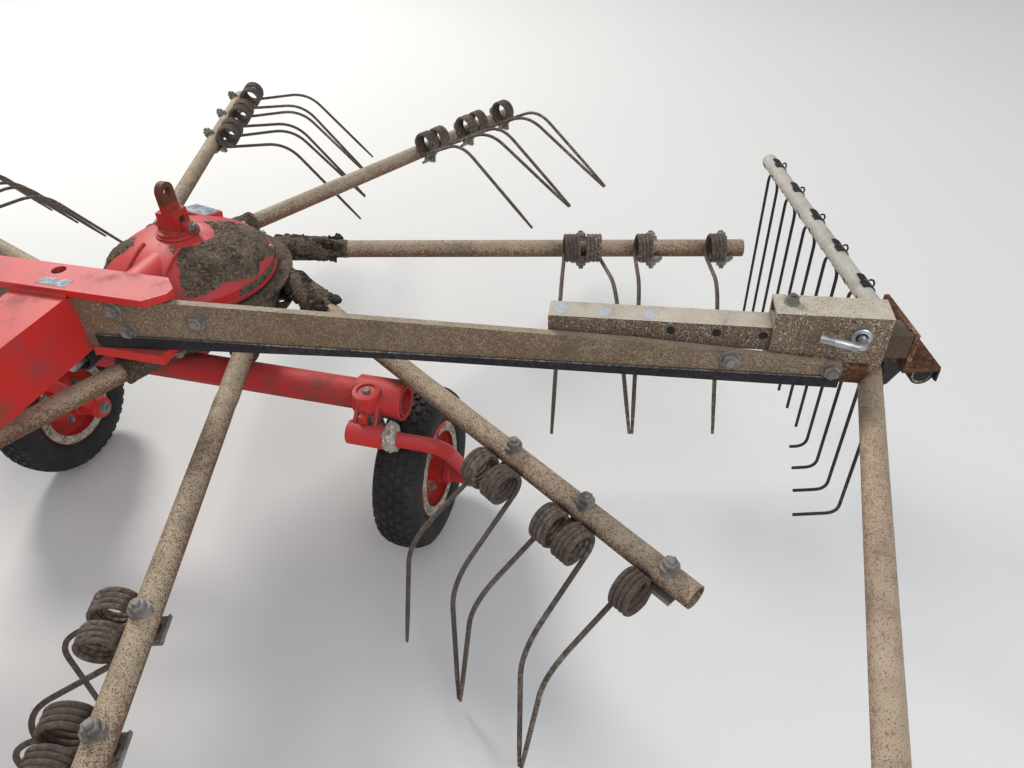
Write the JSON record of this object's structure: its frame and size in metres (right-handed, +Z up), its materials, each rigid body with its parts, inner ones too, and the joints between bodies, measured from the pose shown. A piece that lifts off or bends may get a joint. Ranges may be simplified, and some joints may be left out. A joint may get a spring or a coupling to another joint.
{
  "type": "rotary rake",
  "caption": "Single-rotor rotary rake for hay: tine arms with double spring tines around a domed gear housing, a swath former, guard tubes, two wheels, a swivel headstock and a parking stand",
  "frame": {"origin": "on the ground under the rotor's axis", "axes": "+X to the machine's right, +Y the direction of travel, +Z up"},
  "size_m": [2.9997, 3.0394, 0.92],
  "materials": {
    "faded_red_paint": "sun-faded red gloss paint, pinkish on top faces",
    "worn_beige_paint": "worn ivory paint with brown rust",
    "dark_steel": "dark worn steel",
    "zinc_steel": "zinc-plated, scratched",
    "dirty_iron": "iron caked with dry dirt",
    "black_plastic": "black moulded guard",
    "tyre_rubber": "dusty black rubber",
    "rusty_tube": "ivory paint worn to speckled rust",
    "spring_steel": "purple-brown rust on spring steel"
  },
  "bodies": {
    "frame": {"gear_housing": "faded_red_paint", "centre_post": "faded_red_paint", "lug": "faded_red_paint", "main_beam": "faded_red_paint", "top_plate": "faded_red_paint", "lower_plate": "faded_red_paint", "cross_beam_left": "worn_beige_paint", "cross_beam_right": "worn_beige_paint", "sleeve": "worn_beige_paint", "lock_pin": "zinc_steel", "guard_left": "worn_beige_paint", "guard_right": "worn_beige_paint", "guard_bracket_right": "worn_beige_paint", "axle_tube": "faded_red_paint", "axle_casting_left": "faded_red_paint", "axle_casting_right": "faded_red_paint", "crank_left": "faded_red_paint", "crank_right": "faded_red_paint", "swivel_pin": "dark_steel", "stand_guide": "faded_red_paint", "input_guard": "black_plastic"},
    "rotor": {"rotor_carrier": "dirty_iron"},
    "arm_a": {"arm_a": "rusty_tube", "tines_a": "spring_steel"},
    "arm_b": {"arm_b": "rusty_tube", "tines_b": "spring_steel"},
    "arm_c": {"arm_c": "rusty_tube", "tines_c": "spring_steel"},
    "arm_d": {"arm_d": "rusty_tube", "tines_d": "spring_steel"},
    "arm_e": {"arm_e": "rusty_tube", "tines_e": "spring_steel"},
    "arm_f": {"arm_f": "rusty_tube", "tines_f": "spring_steel"},
    "arm_g": {"arm_g": "rusty_tube", "tines_g": "spring_steel"},
    "arm_h": {"arm_h": "rusty_tube", "tines_h": "spring_steel"},
    "wheel_left": {"rim_left": "faded_red_paint", "tyre_left": "tyre_rubber"},
    "wheel_right": {"rim_right": "faded_red_paint", "tyre_right": "tyre_rubber"},
    "swath_former": {"slide_tube": "worn_beige_paint", "swath_bracket": "worn_beige_paint", "swath_tube": "worn_beige_paint", "swath_rods": "dark_steel"},
    "headstock": {"headstock": "faded_red_paint", "lower_link_pins": "dark_steel"},
    "stand": {"stand_leg": "zinc_steel", "stand_foot": "zinc_steel"},
    "input": {"input_shaft": "dark_steel"}
  },
  "joints": [
    {"name": "rotor_spin", "type": "hinge", "parent": "frame", "child": "rotor", "pos_m": [0, 0, 0.52], "axis": [0, 0, 1], "continuous": true},
    {"name": "arm_a_roll", "type": "hinge", "parent": "rotor", "child": "arm_a", "pos_m": [0.16367, 0.05604, 0.52], "axis": [-0.3239, 0.9461, 0], "range_deg": [-32, 23]},
    {"name": "arm_b_roll", "type": "hinge", "parent": "rotor", "child": "arm_b", "pos_m": [0.15641, -0.07393, 0.52], "axis": [0.4273, 0.9039, 0.0175], "range_deg": [-55, 0]},
    {"name": "arm_c_roll", "type": "hinge", "parent": "rotor", "child": "arm_c", "pos_m": [0.04536, -0.16695, 0.52], "axis": [0.9647, 0.2621, 0.0262], "range_deg": [-42, 13]},
    {"name": "arm_d_roll", "type": "hinge", "parent": "rotor", "child": "arm_d", "pos_m": [-0.09168, -0.14671, 0.52], "axis": [0.8475, -0.5296, 0.0349], "range_deg": [0, 55]},
    {"name": "arm_e_roll", "type": "hinge", "parent": "rotor", "child": "arm_e", "pos_m": [-0.16444, -0.05375, 0.52], "axis": [0.3107, -0.9505, 0], "range_deg": [0, 55]},
    {"name": "arm_f_roll", "type": "hinge", "parent": "rotor", "child": "arm_f", "pos_m": [-0.15679, 0.07311, 0.52], "axis": [-0.4226, -0.9063, 0], "range_deg": [0, 55]},
    {"name": "arm_g_roll", "type": "hinge", "parent": "rotor", "child": "arm_g", "pos_m": [-0.06481, 0.1604, 0.52], "axis": [-0.9272, -0.3746, 0], "range_deg": [0, 55]},
    {"name": "arm_h_roll", "type": "hinge", "parent": "rotor", "child": "arm_h", "pos_m": [0.062, 0.16151, 0.52], "axis": [-0.9336, 0.3584, 0], "range_deg": [-30, 25]},
    {"name": "wheel_left_spin", "type": "hinge", "parent": "frame", "child": "wheel_left", "pos_m": [-0.58, 0.13, 0.19], "axis": [1, 0, 0], "continuous": true},
    {"name": "wheel_right_spin", "type": "hinge", "parent": "frame", "child": "wheel_right", "pos_m": [0.435, 0.13, 0.19], "axis": [1, 0, 0], "continuous": true},
    {"name": "swath_slide", "type": "slide", "parent": "frame", "child": "swath_former", "axis": [-0.9925, -0.1219, 0], "range_m": [0, 0.3]},
    {"name": "headstock_swivel", "type": "hinge", "parent": "frame", "child": "headstock", "pos_m": [0, 1.52, 0.68], "axis": [0, 0, 1], "range_deg": [-20, 20]},
    {"name": "stand_slide", "type": "slide", "parent": "frame", "child": "stand", "axis": [0, 0, 1], "range_m": [0, 0.35]},
    {"name": "input_spin", "type": "hinge", "parent": "frame", "child": "input", "pos_m": [0, 0.35, 0.586], "axis": [0, 1, 0], "continuous": true}
  ],
  "couplings": [
    {"joint": "input_spin", "follows": "rotor_spin", "ratio": 7}
  ]
}
